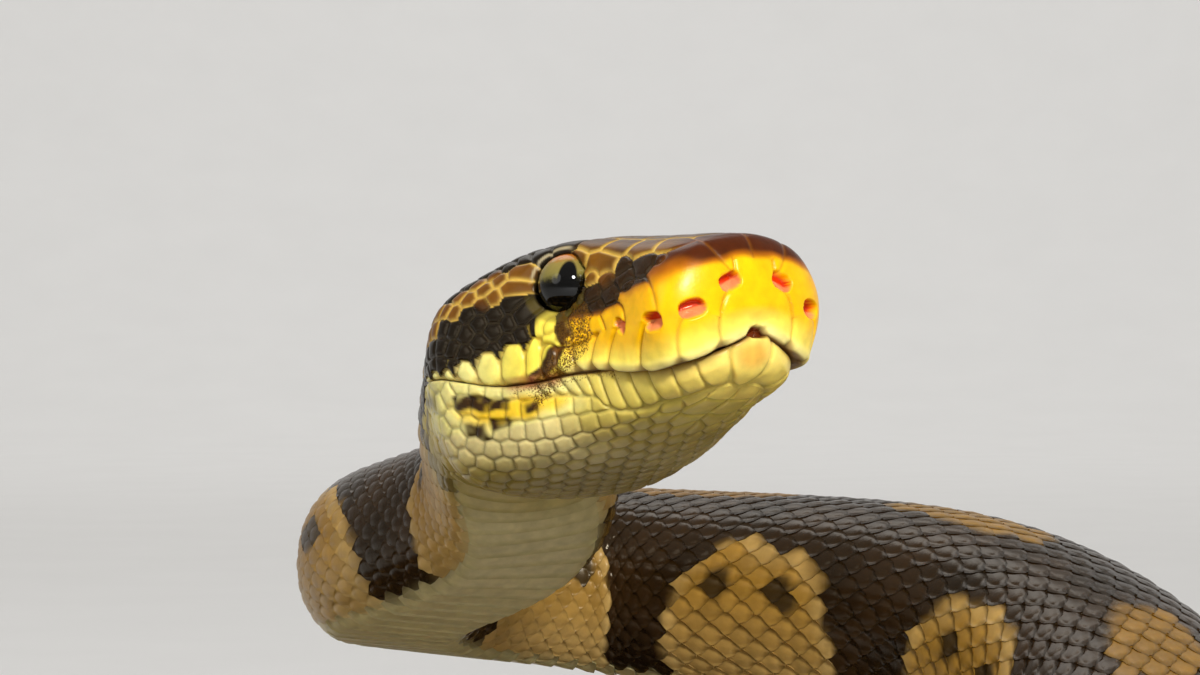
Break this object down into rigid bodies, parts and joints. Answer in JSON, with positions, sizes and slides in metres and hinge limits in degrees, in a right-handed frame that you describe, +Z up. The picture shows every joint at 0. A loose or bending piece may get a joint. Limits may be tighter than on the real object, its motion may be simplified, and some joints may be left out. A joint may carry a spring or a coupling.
{
  "type": "coiled ball python",
  "caption": "Life-size still model of a ball python lying in a coil, with its head raised over the middle and turned to look out.",
  "frame": {"origin": "middle of the coil's bounding box, on the floor that the belly rests on", "axes": "+X is the coil's longest way and the way the head mostly turns, +Z up; the camera of the picture looks along +Y"},
  "size_m": [0.2576, 0.2431, 0.1032],
  "materials": {
    "scaly_skin": "satin",
    "head_skin": "satin",
    "throat_skin": "satin",
    "eye": "gloss"
  },
  "bodies": {
    "root": {"head": "head_skin", "lower_jaw": "throat_skin", "eye_right": "eye", "eye_left": "eye", "neck": "scaly_skin", "trunk_9": "scaly_skin", "trunk_8": "scaly_skin", "trunk_7": "scaly_skin", "trunk_6": "scaly_skin", "trunk_5": "scaly_skin", "trunk_4": "scaly_skin", "trunk_3": "scaly_skin", "trunk_2": "scaly_skin", "trunk_1": "scaly_skin", "tail": "scaly_skin"}
  },
  "joints": []
}
